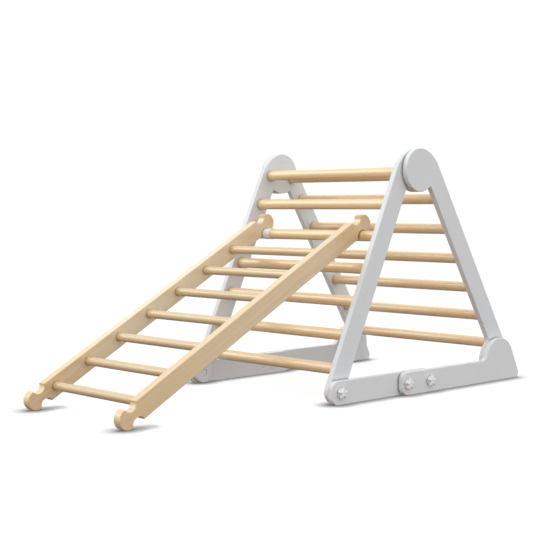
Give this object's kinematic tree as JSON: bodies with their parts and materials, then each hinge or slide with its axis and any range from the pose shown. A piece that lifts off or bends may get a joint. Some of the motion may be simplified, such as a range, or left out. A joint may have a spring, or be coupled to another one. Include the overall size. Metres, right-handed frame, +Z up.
{
  "type": "folding climbing triangle with ladder ramp",
  "caption": "Folding A-frame toddler climber with round wooden rungs, painted side boards, star locking knobs and a hook-on ladder ramp with notched rails.",
  "frame": {"origin": "centre of the bounding box at floor level", "axes": "+X from the far side to the near side, +Y from the ladder end to the rear, +Z up"},
  "size_m": [0.6976, 1.5024, 0.729],
  "materials": {
    "white_paint": "satin white painted plywood",
    "natural_wood": "clear-lacquered light hardwood",
    "white_plastic": "moulded white plastic",
    "steel": "zinc-plated steel"
  },
  "bodies": {
    "front_frame": {"front_leg_near": "white_paint", "front_leg_far": "white_paint", "front_rung_1": "natural_wood", "front_rung_2": "natural_wood", "front_rung_3": "natural_wood", "front_rung_4": "natural_wood", "front_rung_5": "natural_wood", "front_rung_6": "natural_wood", "front_rung_7": "natural_wood", "top_rung": "natural_wood", "apex_pin_near": "steel", "apex_pin_far": "steel", "front_bolt_near": "steel", "front_bolt_far": "steel"},
    "rear_frame": {"rear_leg_near": "white_paint", "rear_leg_far": "white_paint", "rear_rung_1": "natural_wood", "rear_rung_2": "natural_wood", "rear_rung_3": "natural_wood", "rear_rung_4": "natural_wood", "rear_rung_5": "natural_wood", "rear_rung_6": "natural_wood", "foot_pin_near": "steel", "foot_pin_far": "steel"},
    "front_bar_near": {"front_bar_near": "white_paint", "fold_bolt_near": "steel"},
    "rear_bar_near": {"rear_bar_near": "white_paint", "lock_bolt_near": "steel"},
    "front_bar_far": {"front_bar_far": "white_paint", "fold_bolt_far": "steel"},
    "rear_bar_far": {"rear_bar_far": "white_paint", "lock_bolt_far": "steel"},
    "ladder_seat": {"hook_sleeve_near": "white_plastic", "hook_sleeve_far": "white_plastic"},
    "ladder": {"ladder_rail_near": "natural_wood", "ladder_rail_far": "natural_wood", "ladder_rung_1": "natural_wood", "ladder_rung_2": "natural_wood", "ladder_rung_3": "natural_wood", "ladder_rung_4": "natural_wood", "ladder_rung_5": "natural_wood", "ladder_rung_6": "natural_wood", "ladder_rung_7": "natural_wood"},
    "front_knob_near": {"front_knob_near": "white_plastic"},
    "front_knob_far": {"front_knob_far": "white_plastic"},
    "fold_knob_near": {"fold_knob_near": "white_plastic"},
    "fold_knob_far": {"fold_knob_far": "white_plastic"},
    "lock_knob_near": {"lock_knob_near": "white_plastic"},
    "lock_knob_far": {"lock_knob_far": "white_plastic"}
  },
  "joints": [
    {"name": "fold", "type": "hinge", "parent": "front_frame", "child": "rear_frame", "pos_m": [0, 0.28324, 0.664], "axis": [-1, 0, 0], "range_deg": [0, 46]},
    {"name": "front_bar_near_fold", "type": "hinge", "parent": "front_frame", "child": "front_bar_near", "pos_m": [0.3075, -0.06267, 0.034], "axis": [1, 0, 0], "range_deg": [0, 53.87]},
    {"name": "rear_bar_near_fold", "type": "hinge", "parent": "front_bar_near", "child": "rear_bar_near", "pos_m": [0.326, 0.30424, 0.034], "axis": [-1, 0, 0], "range_deg": [0, 156.29]},
    {"name": "front_bar_far_fold", "type": "hinge", "parent": "front_frame", "child": "front_bar_far", "pos_m": [-0.3075, -0.06267, 0.034], "axis": [1, 0, 0], "range_deg": [0, 53.87]},
    {"name": "rear_bar_far_fold", "type": "hinge", "parent": "front_bar_far", "child": "rear_bar_far", "pos_m": [-0.326, 0.30424, 0.034], "axis": [-1, 0, 0], "range_deg": [0, 156.29]},
    {"name": "ladder_tilt", "type": "hinge", "parent": "front_frame", "child": "ladder_seat", "pos_m": [-0.011, 0.14047, 0.46963], "axis": [-1, 0, 0], "range_deg": [0, 10]},
    {"name": "ladder_lift", "type": "slide", "parent": "ladder_seat", "child": "ladder", "axis": [0, -0.4808, 0.8769], "range_m": [0, 0.05]},
    {"name": "front_knob_near_turn", "type": "hinge", "parent": "front_frame", "child": "front_knob_near", "pos_m": [0.3215, -0.06267, 0.034], "axis": [1, 0, 0], "continuous": true},
    {"name": "front_knob_far_turn", "type": "hinge", "parent": "front_frame", "child": "front_knob_far", "pos_m": [-0.3215, -0.06267, 0.034], "axis": [-1, 0, 0], "continuous": true},
    {"name": "fold_knob_near_turn", "type": "hinge", "parent": "front_bar_near", "child": "fold_knob_near", "pos_m": [0.34, 0.30424, 0.034], "axis": [1, 0, 0], "continuous": true},
    {"name": "fold_knob_far_turn", "type": "hinge", "parent": "front_bar_far", "child": "fold_knob_far", "pos_m": [-0.34, 0.30424, 0.034], "axis": [-1, 0, 0], "continuous": true},
    {"name": "lock_knob_near_turn", "type": "hinge", "parent": "rear_bar_near", "child": "lock_knob_near", "pos_m": [0.34, 0.20324, 0.034], "axis": [1, 0, 0], "continuous": true},
    {"name": "lock_knob_far_turn", "type": "hinge", "parent": "rear_bar_far", "child": "lock_knob_far", "pos_m": [-0.34, 0.20324, 0.034], "axis": [-1, 0, 0], "continuous": true}
  ],
  "couplings": [
    {"joint": "front_bar_near_fold", "follows": "fold", "ratio": 1.17},
    {"joint": "rear_bar_near_fold", "follows": "fold", "ratio": 3.3966},
    {"joint": "front_bar_far_fold", "follows": "fold", "ratio": 1.17},
    {"joint": "rear_bar_far_fold", "follows": "fold", "ratio": 3.3966}
  ]
}
